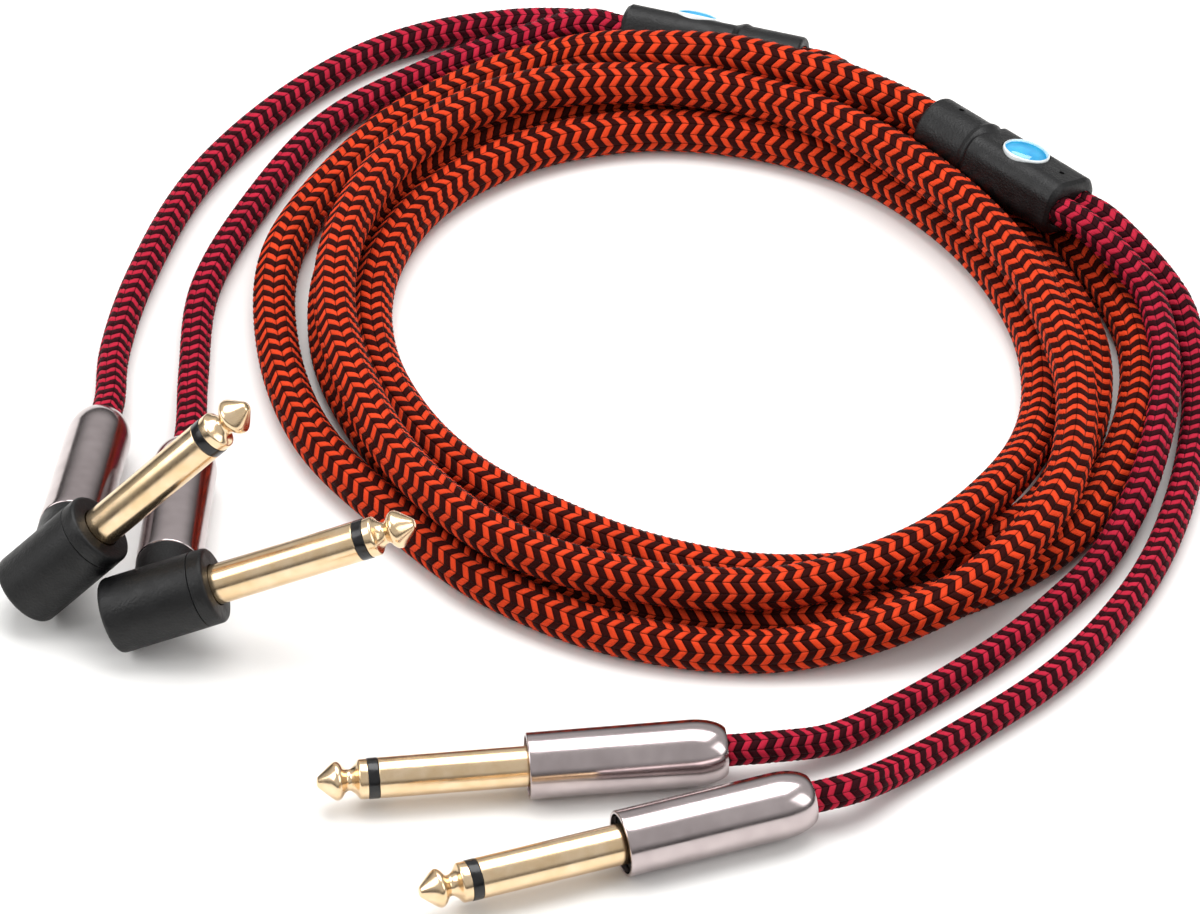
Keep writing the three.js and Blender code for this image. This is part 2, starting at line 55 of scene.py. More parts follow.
# ---- camera ---------------------------------------------------------------------------
LOOK_AT = point(6.5, 0.5, 0)
CAMERA_DISTANCE = 1.8
CAMERA_ELEVATION = radians(41)


def set_camera():
    camera = bpy.data.objects.new("camera", bpy.data.cameras.new("camera"))
    camera.data.lens = 342.9
    camera.data.sensor_width = 36
    back = Vector((0, -cos(CAMERA_ELEVATION), sin(CAMERA_ELEVATION)))
    camera.location = LOOK_AT + back * CAMERA_DISTANCE
    camera.rotation_euler = (pi / 2 - CAMERA_ELEVATION, 0, 0)
    camera.data.clip_end = 20
    bpy.context.collection.objects.link(camera)
    bpy.context.scene.camera = camera


set_camera()


# ---- where the plugs and splitters lie ------------------------------------------------
# at in millimetres, angles in degrees: the same placing as the model's.
STRAIGHT_PLUGS = {
    "plug1": {"at": (-4.6, -77.1, 5.2), "heading": 6.6},
    "plug2": {"at": (9.6, -94.5, 5.2), "heading": 19.5},
}
ANGLED_PLUGS = {
    "plug3": {"at": (-60.8, -43.6, 9), "heading": 86.4, "dip": 6, "roll": 23},
    "plug4": {"at": (-76.6, -35.8, 10.5), "heading": 82.9, "dip": 8.5, "roll": 47},
}
SPLITTERS = {
    "splitter1": {"at": (39.3, 90.5, 5.9), "heading": 161.7, "roll": 41},
    "splitter2": {"at": (60.3, 68.7, 11.7), "heading": -44.3, "roll": -20},
}
NECK_HEIGHT = 8.9                   # from a right-angle pin's axis to its barrel's rim


def placed(at, *turns):
    """A matrix that takes a piece drawn in millimetres to its place in metres."""
    matrix = Matrix.Translation(point(*at))
    for turn in turns:
        matrix = matrix @ turn
    return matrix @ Matrix.Scale(MM, 4)


def straight_place(at, heading):
    """+X towards the pin's tip; the cord leaves along -X."""
    return placed(at, Matrix.Rotation(radians(heading + 180), 4, "Z"))


def angled_place(at, heading, dip, roll):
    """+Y along the barrel towards the cord, +X towards the pin's tip."""
    h, d = radians(heading), radians(dip)
    out = Vector((cos(h) * cos(d), sin(h) * cos(d), -sin(d)))
    level = Vector((out.y, -out.x, 0)).normalized()
    pin = Matrix.Rotation(-radians(roll), 3, out) @ level
    side = pin.cross(out)
    return placed(at, Matrix((pin, out, side)).transposed().to_4x4())


def splitter_place(at, heading, roll):
    """+X from the trunk's end to the legs' end, +Z out through the badge."""
    return placed(at, Matrix.Rotation(radians(heading), 4, "Z"),
                  Matrix.Rotation(radians(roll), 4, "X"))


BARREL_ON_ELBOW = Matrix.Translation((0, NECK_HEIGHT, 0)) @ Matrix.Rotation(-pi / 2, 4, "Z")
PLACE = {name: straight_place(**spec) for name, spec in STRAIGHT_PLUGS.items()}
PLACE.update({name: angled_place(**spec) for name, spec in ANGLED_PLUGS.items()})
PLACE.update({name: splitter_place(**spec) for name, spec in SPLITTERS.items()})
BARREL_PLACE = {name: PLACE[name] for name in STRAIGHT_PLUGS}
BARREL_PLACE.update({name: PLACE[name] @ BARREL_ON_ELBOW for name in ANGLED_PLUGS})


# ---- routes of the cords --------------------------------------------------------------
TRUNK_RADIUS = 3.35 * MM
LEG_RADIUS = 2.4 * MM
LEG_SPACING = 5.1                   # between the two legs where they leave a splitter
TRUNK_INSIDE = 8.5                  # where the trunk's braid ends in the splitter's collar
LEG_INSIDE = 20.5                   # where a leg's braid starts in the splitter
SPLIT_LENGTH = 30
BARREL_LENGTH = 30.5
CORD_INSIDE = 15                    # where a leg's braid ends, behind a barrel's rim
TRUNK_STRAIGHT = 4                  # how far each cord runs straight on before it bends
LEG_STRAIGHT = 6
BARREL_STRAIGHT = 7

LEAD_IN = [(47, 87.4, 4.4), (54.5, 81.2, 3.5), (62, 73.5, 3.4)]
LEAD_OUT = [(-30, 74.5, 3.4), (-22, 83, 3.4), (-12, 89.3, 4.2), (-1, 92.6, 5.8),
            (7, 90.8, 9), (13.5, 88, 11.4), (19.5, 86.5, 12.5), (26, 85.8, 12.7),
            (31, 84.3, 12.8), (38.5, 81.6, 12.7), (46.5, 78, 12.5)]

# The coil: [radius, height] in millimetres at every 20 degrees, clockwise from 40 degrees.
# Where one turn crosses another it rides a cord's thickness higher.
COIL_CENTRE = (23, 23)
COIL_START = 40
COIL_STEP = -20
COIL = [
    (63.0, 3.4), (65.0, 3.4), (68.9, 3.4), (70.4, 3.4), (72.2, 3.4), (70.3, 3.4),
    (66.0, 3.4), (62.6, 3.4), (58.6, 3.4), (56.0, 3.4), (56.6, 3.4), (59.2, 3.4),
    (62.0, 3.4), (63.8, 3.4), (63.5, 3.4), (62.2, 3.4), (60.2, 3.4), (58.3, 3.4),
    (56.6, 3.4), (57.8, 3.4), (60.9, 3.4), (63.2, 3.4), (65.2, 3.4), (60.2, 3.4),
    (55.3, 3.4), (50.4, 3.4), (47.5, 3.4), (47.9, 3.4), (49.5, 3.4), (52.3, 3.4),
    (55.2, 3.4), (57.0, 3.4), (56.7, 3.4), (55.2, 3.4), (52.9, 3.4), (51.4, 3.4),
    (50.1, 3.4), (50.6, 3.4), (52.9, 3.4), (55.9, 3.8), (59.3, 7.0), (63.7, 9.6),
    (65.8, 10.1), (64.0, 10.1), (62.2, 10.0), (59.2, 10.0), (57.3, 10.1), (58.4, 10.1),
    (60.8, 10.1), (63.3, 10.1), (63.5, 10.1), (59.7, 9.7), (56.2, 9.4), (52.0, 10.0),
    (50.4, 10.1), (51.3, 10.1), (55.4, 9.8), (62.1, 10.1), (70.4, 10.1), (74.9, 7.8),
    (72.9, 3.6), (69.8, 3.4), (65.8, 3.4), (63.1, 3.4), (65.2, 3.4), (67.6, 3.4),
    (71.4, 3.4),
]

LEGS = {
    "leg1": {"plug": "plug1", "splitter": "splitter2", "side": -1, "points": [
        (42, -69.2, 3.6), (53, -60.8, 2.6), (68.2, -47.6, 2.6), (77.8, -36.5, 2.6),
        (84.4, -27.4, 3), (90.2, -15.5, 5), (93.8, -2.9, 6.5), (95.6, 9, 7.4),
        (95.5, 19.5, 8), (93.2, 30.6, 9.2)]},
    "leg2": {"plug": "plug2", "splitter": "splitter2", "side": 1, "points": [
        (50.5, -77, 3.5), (60.5, -68.4, 2.6), (75.7, -54.5, 2.6), (84.5, -43, 2.6),
        (92, -29, 2.6), (97.3, -12.5, 2.6), (100.5, 6.6, 2.6), (100.6, 21.2, 2.6),
        (98.2, 33, 5)]},
    "leg3": {"plug": "plug3", "splitter": "splitter1", "side": 1, "points": [
        (-57.9, 17.5, 2.7), (-56.6, 38.4, 2.6), (-48.4, 60.9, 2.6), (-37.4, 80, 2.6),
        (-22.9, 92, 2.7), (-6.6, 99, 4.6)]},
    "leg4": {"plug": "plug4", "splitter": "splitter1", "side": -1, "points": [
        (-70.6, 22.5, 2.6), (-67.1, 40.9, 2.6), (-58.2, 66, 2.6), (-42.5, 88, 2.6),
        (-26.3, 100.7, 2.6), (-8, 106, 2.6)]},
}


def coil_points():
    """The coil's stations as places on the floor plan."""
    points = []
    for index, (radius, height) in enumerate(COIL):
        angle = radians(COIL_START + COIL_STEP * index)
        points.append(point(COIL_CENTRE[0] + radius * cos(angle),
                            COIL_CENTRE[1] + radius * sin(angle), height))
    return points


def trunk_points():
    start = [PLACE["splitter1"] @ Vector((x, 0, 0)) for x in (TRUNK_INSIDE, 0, -TRUNK_STRAIGHT)]
    end = [PLACE["splitter2"] @ Vector((x, 0, 0)) for x in (-TRUNK_STRAIGHT, 0, TRUNK_INSIDE)]
    lead_in = [point(*p) for p in LEAD_IN]
    lead_out = [point(*p) for p in LEAD_OUT]
    return start + lead_in + coil_points() + lead_out + end


def leg_points(plug, splitter, side, points):
    start = [BARREL_PLACE[plug] @ Vector((x, 0, 0))
             for x in (-CORD_INSIDE, -(CORD_INSIDE + BARREL_LENGTH) / 2, -BARREL_LENGTH,
                       -BARREL_LENGTH - BARREL_STRAIGHT)]
    y = side * LEG_SPACING / 2
    end = [PLACE[splitter] @ Vector((x, y, 0))
           for x in (SPLIT_LENGTH + LEG_STRAIGHT, SPLIT_LENGTH, LEG_INSIDE)]
    return start + [point(*p) for p in points] + end


def smooth_route(points, step=1 * MM):
    """A centripetal Catmull-Rom curve through the points, as closely spaced places."""
    ends = [points[0] * 2 - points[1]] + list(points) + [points[-1] * 2 - points[-2]]
    route = []
    for a, b, c, d in zip(ends, ends[1:], ends[2:], ends[3:]):
        t1 = sqrt((b - a).length)
        t2 = t1 + sqrt((c - b).length)
        t3 = t2 + sqrt((d - c).length)
        pieces = max(1, ceil((c - b).length / step))
        for index in range(pieces):
            t = t1 + (t2 - t1) * index / pieces
            ab = a.lerp(b, t / t1)
            bc = b.lerp(c, (t - t1) / (t2 - t1))
            cd = c.lerp(d, (t - t2) / (t3 - t2))
            route.append(ab.lerp(bc, t / t2).lerp(bc.lerp(cd, (t - t1) / (t3 - t1)),
                                                  (t - t1) / (t2 - t1)))
    return route + [points[-1]]


# ---- nodes and colours ----------------------------------------------------------------
def add(tree, kind, inputs=None, **settings):
    """Adds one node with its settings, and feeds its inputs with values or sockets."""
    node = tree.nodes.new(kind)
    for name, value in settings.items():
        setattr(node, name, value)
    for key, value in (inputs or {}).items():
        if isinstance(value, bpy.types.NodeSocket):
            tree.links.new(value, node.inputs[key])
        else:
            node.inputs[key].default_value = value
    return node


def colour(hex_code):
    """An sRGB hex colour as linear RGBA."""
    channels = [int(hex_code[i:i + 2], 16) / 255 for i in (1, 3, 5)]
    linear = [c / 12.92 if c <= 0.04045 else ((c + 0.055) / 1.055) ** 2.4 for c in channels]
    return (*linear, 1)


def material(name, **shader_settings):
    """An empty material with one Principled shader, and its tree and shader."""
    made = bpy.data.materials.new(name)
    made.use_nodes = True
    tree = made.node_tree
    shader = tree.nodes["Principled BSDF"]
    for key, value in shader_settings.items():
        shader.inputs[key.replace("_", " ")].default_value = value
    return made, tree, shader


# ---- braid ----------------------------------------------------------------------------
# Two yarns, a bright and a dark one, are plaited in rows that run round the cord in
# zigzags. along is the distance down the cord, turn the direction out of its middle.
def braid_cells(tree, along, turn, row, zigzags, rise):
    """The place across a pair of yarns, the place across one of them, and the place along
    its float, each from 0 to 1."""
    across = add(tree, "ShaderNodeSeparateXYZ", {0: turn})
    angle = add(tree, "ShaderNodeMath", {0: across.outputs[1], 1: across.outputs[0]},
                operation="ARCTAN2")
    legs = add(tree, "ShaderNodeMath", {0: angle.outputs[0], 1: zigzags}, operation="MULTIPLY")
    legs = add(tree, "ShaderNodeMath", {0: legs.outputs[0], 1: 2 * pi}, operation="DIVIDE")
    zig = add(tree, "ShaderNodeMath", {0: legs.outputs[0], 1: 0.5}, operation="PINGPONG")
    climb = add(tree, "ShaderNodeMath", {0: zig.outputs[0], 1: rise}, operation="MULTIPLY")
    rows = add(tree, "ShaderNodeMath", {0: along, 1: climb.outputs[0]}, operation="ADD")
    rows = add(tree, "ShaderNodeMath", {0: rows.outputs[0], 1: row}, operation="DIVIDE")
    pair_place = add(tree, "ShaderNodeMath", {0: rows.outputs[0]}, operation="FRACT")
    yarns = add(tree, "ShaderNodeMath", {0: rows.outputs[0], 1: 2.0}, operation="MULTIPLY")
    yarn_place = add(tree, "ShaderNodeMath", {0: yarns.outputs[0]}, operation="FRACT")
    floats = add(tree, "ShaderNodeMath", {0: legs.outputs[0], 1: 2.0}, operation="MULTIPLY")
    float_place = add(tree, "ShaderNodeMath", {0: floats.outputs[0]}, operation="FRACT")
    return pair_place.outputs[0], yarn_place.outputs[0], float_place.outputs[0]


def bulge(tree, place, sharpness):
    """1 in the middle of a unit cell, falling to 0 at both its edges."""
    off = add(tree, "ShaderNodeMath", {0: place, 1: 2.0, 2: -1.0}, operation="MULTIPLY_ADD")
    off = add(tree, "ShaderNodeMath", {0: off.outputs[0]}, operation="ABSOLUTE")
    off = add(tree, "ShaderNodeMath", {0: off.outputs[0], 1: sharpness}, operation="POWER")
    return add(tree, "ShaderNodeMath", {0: 1.0, 1: off.outputs[0]},
               operation="SUBTRACT").outputs[0]


def braid_height(tree, place, float_place):
    """The yarn's relief, from 0 in the gaps to 1 on top of a float."""
    product = add(tree, "ShaderNodeMath",
                  {0: bulge(tree, place, 2.4), 1: bulge(tree, float_place, 6.0)},
                  operation="MULTIPLY")
    return add(tree, "ShaderNodeMath", {0: product.outputs[0]}, operation="SQRT").outputs[0]


def braid_tree():
    """Geometry Nodes: a chain of points becomes a cord whose surface is plaited."""
    tree = bpy.data.node_groups.new("braided cord", "GeometryNodeTree")
    socket = tree.interface.new_socket
    socket("Geometry", in_out="INPUT", socket_type="NodeSocketGeometry")
    for name in ("Radius", "Step", "Row", "Zigzags", "Rise", "Relief"):
        socket(name, in_out="INPUT", socket_type="NodeSocketFloat")
    socket("Sides", in_out="INPUT", socket_type="NodeSocketInt")
    socket("Material", in_out="INPUT", socket_type="NodeSocketMaterial")
    socket("Geometry", in_out="OUTPUT", socket_type="NodeSocketGeometry")
    given = add(tree, "NodeGroupInput").outputs

    line = add(tree, "GeometryNodeMeshToCurve", {"Mesh": given["Geometry"]})
    line = add(tree, "GeometryNodeResampleCurve",
               {"Curve": line.outputs[0], "Length": given["Step"]}, mode="LENGTH")
    line = add(tree, "GeometryNodeSetCurveNormal", {"Curve": line.outputs[0]}, mode="Z_UP")
    distance = add(tree, "GeometryNodeSplineParameter")
    line = add(tree, "GeometryNodeStoreNamedAttribute",
               {"Geometry": line.outputs[0], "Name": "along", "Value": distance.outputs["Length"]},
               data_type="FLOAT", domain="POINT")
    ring = add(tree, "GeometryNodeCurvePrimitiveCircle",
               {"Resolution": given["Sides"], "Radius": given["Radius"]}, mode="RADIUS")
    outward = add(tree, "GeometryNodeInputPosition")
    ring = add(tree, "GeometryNodeStoreNamedAttribute",
               {"Geometry": ring.outputs[0], "Name": "turn", "Value": outward.outputs[0]},
               data_type="FLOAT_VECTOR", domain="POINT")
    cord = add(tree, "GeometryNodeCurveToMesh",
               {"Curve": line.outputs[0], "Profile Curve": ring.outputs[0], "Fill Caps": True})

    along = add(tree, "GeometryNodeInputNamedAttribute", {"Name": "along"}, data_type="FLOAT")
    turn = add(tree, "GeometryNodeInputNamedAttribute", {"Name": "turn"},
               data_type="FLOAT_VECTOR")
    _, yarn_place, float_place = braid_cells(tree, along.outputs[0], turn.outputs[0],
                                             given["Row"], given["Zigzags"], given["Rise"])
    height = braid_height(tree, yarn_place, float_place)
    height = add(tree, "ShaderNodeMath", {0: height, 1: 0.6}, operation="SUBTRACT")
    lift = add(tree, "ShaderNodeMath", {0: height.outputs[0], 1: given["Relief"]},
               operation="MULTIPLY")
    out = add(tree, "GeometryNodeInputNormal")
    offset = add(tree, "ShaderNodeVectorMath",
                 {0: out.outputs[0], "Scale": lift.outputs[0]}, operation="SCALE")
    cord = add(tree, "GeometryNodeSetPosition",
               {"Geometry": cord.outputs[0], "Offset": offset.outputs[0]})
    cord = add(tree, "GeometryNodeSetShadeSmooth", {"Geometry": cord.outputs[0]})
    cord = add(tree, "GeometryNodeRealizeInstances", {"Geometry": cord.outputs[0]})
    cord = add(tree, "GeometryNodeSetMaterial",
               {"Geometry": cord.outputs[0], "Material": given["Material"]})
    add(tree, "NodeGroupOutput", {"Geometry": cord.outputs[0]})
    return tree


BRAID = braid_tree()


def braided_cord(name, route, finish, **sizes):
    """Braids one cord along its route and keeps the result as a plain mesh."""
    chain = bpy.data.meshes.new(name + "_route")
    chain.from_pydata(route, [(i, i + 1) for i in range(len(route) - 1)], [])
    guide = bpy.data.objects.new(name + "_route", chain)
    bpy.context.collection.objects.link(guide)
    modifier = guide.modifiers.new("braid", "NODES")
    modifier.node_group = BRAID
    identifier = {item.name: item.identifier for item in BRAID.interface.items_tree
                  if item.in_out == "INPUT"}
    for key, value in {**sizes, "Material": finish}.items():
        modifier[identifier[key]] = value
    evaluated = guide.evaluated_get(bpy.context.evaluated_depsgraph_get())
    mesh = bpy.data.meshes.new_from_object(evaluated)
    mesh.name = name
    bpy.data.objects.remove(guide)
    bpy.data.meshes.remove(chain)
    cord = bpy.data.objects.new(name, mesh)
    bpy.context.collection.objects.link(cord)
    return cord


FILAMENTS = 5                       # lines across one float


def braid_material(name, bright, dark, painted_groove_shade, row, zigzags, rise):
    """Polyester yarn, plaited. Rounded floats catch a soft sheen, and the gaps between them are
    painted nearly black as shade; the filaments show as fine lines along each float."""
    made, tree, shader = material(name, Roughness=0.6, Sheen_Weight=0.02,
                                  Sheen_Roughness=0.4, Specular_IOR_Level=0.05)
    along = add(tree, "ShaderNodeAttribute", attribute_name="along")
    turn = add(tree, "ShaderNodeAttribute", attribute_name="turn")
    pair_place, yarn_place, float_place = braid_cells(
        tree, along.outputs["Fac"], turn.outputs["Vector"], row, zigzags, rise)
    height = braid_height(tree, yarn_place, float_place)

    is_bright = add(tree, "ShaderNodeMath", {0: pair_place, 1: 0.5}, operation="LESS_THAN")
    yarn = add(tree, "ShaderNodeMix", {0: is_bright.outputs[0], 6: colour(dark),
                                       7: colour(bright)}, data_type="RGBA")
    # Yarn differs a little in shade every few millimetres.
    where = add(tree, "ShaderNodeTexCoord")
    patches = add(tree, "ShaderNodeTexNoise", {"Vector": where.outputs["Object"],
                                               "Scale": 1 / (4 * MM), "Detail": 2.0})
    shade = add(tree, "ShaderNodeMapRange", {0: patches.outputs[0], 1: 0.3, 2: 0.7,
                                             3: 0.86, 4: 1.08})
    yarn = add(tree, "ShaderNodeMix", {0: 1.0, 6: yarn.outputs[2], 7: shade.outputs[0]},
               data_type="RGBA", blend_type="MULTIPLY")
    # Painted shade: towards the grooves between the floats the colour darkens to near black,
    # standing in for the shade that falls there.
    painted_shade_mix = add(tree, "ShaderNodeMapRange", {0: height, 1: 0.1, 2: 0.75, 3: 0.0, 4: 1.0},
                interpolation_type="SMOOTHSTEP")
    base = add(tree, "ShaderNodeMix", {0: painted_shade_mix.outputs[0], 6: colour(painted_groove_shade),
                                       7: yarn.outputs[2]}, data_type="RGBA")
    tree.links.new(base.outputs[2], shader.inputs["Base Color"])

    # The filaments run side by side along each float.
    lines = add(tree, "ShaderNodeMath", {0: yarn_place, 1: 2 * pi * FILAMENTS},
                operation="MULTIPLY")
    lines = add(tree, "ShaderNodeMath", {0: lines.outputs[0]}, operation="SINE")
    relief = add(tree, "ShaderNodeMath", {0: lines.outputs[0], 1: 0.05, 2: height},
                 operation="MULTIPLY_ADD")
    bump = add(tree, "ShaderNodeBump", {"Height": relief.outputs[0], "Distance": 0.4 * MM,
                                        "Strength": 0.9})
    tree.links.new(bump.outputs[0], shader.inputs["Normal"])
    return made


# Spacing of the braid, in metres: row is one bright and one dark yarn, rise the climb of a
# zigzag's leg for each half turn of it.
TRUNK_BRAID = {"row": 2.6 * MM, "zigzags": 6, "rise": 2.5 * MM}
LEG_BRAID = {"row": 2.3 * MM, "zigzags": 5, "rise": 1.7 * MM}
# The third colour of each braid is painted shade for the grooves between its floats.
orange_braid = braid_material("polyester yarn, plaited orange and black", bright="#D4401F",
                              dark="#300805", painted_groove_shade="#240402", **TRUNK_BRAID)
crimson_braid = braid_material("polyester yarn, plaited crimson and maroon", bright="#B4233A",
                               dark="#2E060D", painted_groove_shade="#200307", **LEG_BRAID)

trunk_route = smooth_route(trunk_points())
trunk = braided_cord("trunk_braid", trunk_route, orange_braid, Radius=TRUNK_RADIUS,
                     Sides=32, Step=0.65 * MM, Relief=0.3 * MM, Row=TRUNK_BRAID["row"],
                     Zigzags=TRUNK_BRAID["zigzags"], Rise=TRUNK_BRAID["rise"])
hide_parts("trunk_lead_in", "trunk_coil", "trunk_lead_out")
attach(trunk, BASE)

legs = {}
for leg, spec in LEGS.items():
    route = smooth_route(leg_points(**spec))
    piece = braided_cord(leg + "_braid", route, crimson_braid, Radius=LEG_RADIUS,
                         Sides=28, Step=0.5 * MM, Relief=0.22 * MM, Row=LEG_BRAID["row"],
                         Zigzags=LEG_BRAID["zigzags"], Rise=LEG_BRAID["rise"])
    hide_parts(leg + "_cord")
    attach(piece, BASE)
    legs[leg] = (piece, route)


# ---- finishes -------------------------------------------------------------------------
def mottled(tree, scale_mm, low, high, detail=2.0):
    """Noise on the piece's own place, ranged from low to high."""
    where = add(tree, "ShaderNodeTexCoord")
    noise = add(tree, "ShaderNodeTexNoise", {"Vector": where.outputs["Object"],
                                             "Scale": 1 / (scale_mm * MM), "Detail": detail})
    return add(tree, "ShaderNodeMapRange", {0: noise.outputs[0], 1: 0.3, 2: 0.7,
                                            3: low, 4: high}).outputs[0]


def finish(name, first, second, patch_mm, rough, grain_mm, grain_height, **shader_settings):
    """A material of two close shades, an uneven gloss and a fine surface grain. patch_mm
    and grain_mm are the real sizes of the shades' patches and of the grain."""
    made, tree, shader = material(name, **shader_settings)
    base = add(tree, "ShaderNodeMix", {0: mottled(tree, patch_mm, 0.0, 1.0),
                                       6: colour(first), 7: colour(second)}, data_type="RGBA")
    tree.links.new(base.outputs[2], shader.inputs["Base Color"])
    tree.links.new(mottled(tree, patch_mm / 2, *rough), shader.inputs["Roughness"])
    bump = add(tree, "ShaderNodeBump", {"Height": mottled(tree, grain_mm, 0.0, 1.0),
                                        "Distance": grain_height * MM, "Strength": 1.0})
    tree.links.new(bump.outputs[0], shader.inputs["Normal"])
    return made


# Electroplated over polished brass: a pale yellow mirror with faint handling haze.
gold_plate = finish("gold-plated brass, polished", "#EDD3B0", "#E2C49A", 3, (0.17, 0.24),
                    1.5, 0.001, Metallic=1.0)
# Black-nickel electroplate, polished: a smoky grey mirror.
black_nickel = finish("black nickel plate, polished", "#C2B6B6", "#AFA3A3", 6, (0.14, 0.2),
                      2.0, 0.001, Metallic=1.0)
# Turned acetal: black, close to glossy.
acetal = finish("acetal, turned", "#0A0A0B", "#121214", 2, (0.16, 0.28), 0.4, 0.004, IOR=1.48)
# Injection-moulded ABS from a fine-eroded mould: black with a soft broad sheen.
abs_black = finish("black ABS, moulded", "#050506", "#0A0A0B", 4, (0.4, 0.55), 0.4, 0.03,
                   IOR=1.53, Specular_IOR_Level=0.32)
# Extruded clear PVC: thin glassy walls with a slight haze.
pvc_clear = finish("clear PVC, extruded", "#E4E2DC", "#D6D3CB", 3, (0.15, 0.3), 0.5, 0.01,
                   IOR=1.53, Transmission_Weight=0.7)
# Stamped brass, tinned: dull silver with a soft broken gloss.
tinned = finish("tinned brass, stamped", "#BDBBB6", "#A5A39E", 1.5, (0.3, 0.45), 0.3, 0.01,
                Metallic=1.0)
# Drawn bare copper: warm pink metal with a satin gloss.
copper = finish("copper wire, drawn", "#D08A66", "#B87252", 1, (0.25, 0.4), 0.2, 0.008,
                Metallic=1.0)
# Clear resin cast over a blue disc: a wet-looking dome.
blue_resin = finish("blue resin, cast dome", "#2FA8D6", "#1C8FC6", 2.5, (0.06, 0.12), 1.5,
                    0.004, IOR=1.5, Coat_Weight=1.0, Coat_Roughness=0.04)
# White resin cast round the dome: a thin glossy line.
white_resin = finish("white resin, cast rim", "#E8ECEC", "#D9DEDF", 2, (0.1, 0.2), 1.0, 0.004,
                     IOR=1.5, Coat_Weight=0.6, Coat_Roughness=0.06)


# ---- turned and moulded pieces --------------------------------------------------------
SIDES = 72


def rounded(profile, arc_steps=5):
    """Rounds a profile's corners. Each of its points is (x, radius) or (x, radius, fillet)."""
    spots = [Vector(p[:2]) for p in profile]
    out = []
    for index, spec in enumerate(profile):
        here = spots[index]
        fillet = spec[2] if len(spec) > 2 else 0
        if not fillet or index in (0, len(profile) - 1):
            out.append(here)
            continue
        before, after = spots[index - 1] - here, spots[index + 1] - here
        a = here + before.normalized() * min(fillet, before.length * 0.48)
        b = here + after.normalized() * min(fillet, after.length * 0.48)
        for step in range(arc_steps + 1):
            t = step / arc_steps
            out.append(a.lerp(here, t).lerp(here.lerp(b, t), t))
    return out


def turned_mesh(build, profile, place=Matrix(), slot=0, sides=SIDES):
    """Turns a profile about the X axis into the bmesh. A closed profile makes a hollow
    piece; one that starts and ends on the axis makes a solid piece."""
    spots = rounded(profile)
    closed = (spots[0] - spots[-1]).length < 1e-6
    if closed:
        spots = spots[:-1]
    rings = []
    for spot in spots:
        x, radius = spot
        if radius < 1e-6:
            rings.append([build.verts.new(place @ Vector((x, 0, 0)))])
            continue
        ring = []
        for side in range(sides):
            angle = 2 * pi * side / sides
            ring.append(build.verts.new(
                place @ Vector((x, radius * cos(angle), radius * sin(angle)))))
        rings.append(ring)
    pairs = list(zip(rings, rings[1:]))
    if closed:
        pairs.append((rings[-1], rings[0]))
    for one, two in pairs:
        for side in range(sides):
            after = (side + 1) % sides
            corners = [one[side % len(one)], two[side % len(two)],
                       two[after % len(two)], one[after % len(one)]]
            corners = list(dict.fromkeys(corners))
            if len(corners) > 2:
                face = build.faces.new(corners)
                face.material_index = slot


def finished(name, build, materials, sharp=32):
    """A bmesh as an object, with outward faces, smooth shading and sharp corners kept."""
    bmesh.ops.remove_doubles(build, verts=build.verts, dist=1e-7)
    bmesh.ops.recalc_face_normals(build, faces=build.faces)
    mesh = bpy.data.meshes.new(name)
    build.to_mesh(mesh)
    build.free()
    for item in materials:
        mesh.materials.append(item)
    mesh.shade_smooth()
    mesh.set_sharp_from_angle(angle=radians(sharp))
    made = bpy.data.objects.new(name, mesh)
    bpy.context.collection.objects.link(made)
    return made


def turned(name, place, materials, *profiles):
    """One object of turned profiles, each with the number of its material."""
    build = bmesh.new()
    for profile, slot in profiles:
        turned_mesh(build, profile, place, slot)
    return finished(name, build, materials)


def dress(piece, body, slot, *nodes):
    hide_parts(*nodes)
    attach(piece, body)
    return piece


# Sizes of the pin, in millimetres: a standard quarter-inch two-pole plug.
SLEEVE = 3.175
ROD = 0.9
TIP_LENGTH = 7.6
INSULATOR = 1.6
SEAM = 0.3                          # the clearance between pieces inside one another
RING_SEAM = 0.05                    # the fine line on each side of the insulating ring
STRAIGHT_EXPOSED = 32.2
ANGLED_EXPOSED = 33.5
BARREL = 5.2
BARREL_BORE = 4.65
CORD_HOLE = 2.8
DOME_LENGTH = 5.5
DOME_ARC = radians(68)
DOME_STEPS = 12
SHANK = 4.35
ELBOW = 6
ELBOW_REAR = 8.7
ELBOW_FRONT = 8.9
NOSE = 2.5


def tip_profile(tip, rear):
    """The ball, its waist and the shoulder behind it, then the rod inside the plug."""
    return [(tip, 0), (tip - 0.1, 0.75, 0.3), (tip - 2.6, 2.92, 1.0), (tip - 3.2, 3.05, 0.4),
            (tip - 3.75, 2.75, 0.4), (tip - 4.5, 1.75, 0.5), (tip - 5.1, 1.62, 0.3),
            (tip - 5.9, 2.2, 0.5), (tip - 6.45, 3.02, 0.3), (tip - 6.7, 3.1, 0.1),
            (tip - TIP_LENGTH - 0.2, 3.1, 0.05), (tip - TIP_LENGTH - 0.2, ROD), (rear, ROD),
            (rear, 0)]


def insulator_profile(tip, rear):
    front = tip - TIP_LENGTH - 0.2 - RING_SEAM
    back = front - INSULATOR
    bore = ROD + SEAM
    return [(front, bore), (front, SLEEVE, 0.1), (back, SLEEVE, 0.1), (back, bore + 0.7),
            (rear, bore + 0.7), (rear, bore), (front, bore)]


def sleeve_profile(tip, flange, flange_radius, rear):
    front = tip - TIP_LENGTH - 0.2 - INSULATOR - 2 * RING_SEAM
    bore = ROD + 2 * SEAM + 0.7
    return [(front, bore), (front, SLEEVE - 0.02, 0.15), (flange, SLEEVE - 0.02),
            (flange, flange_radius), (rear, flange_radius), (rear, bore), (front, bore)]


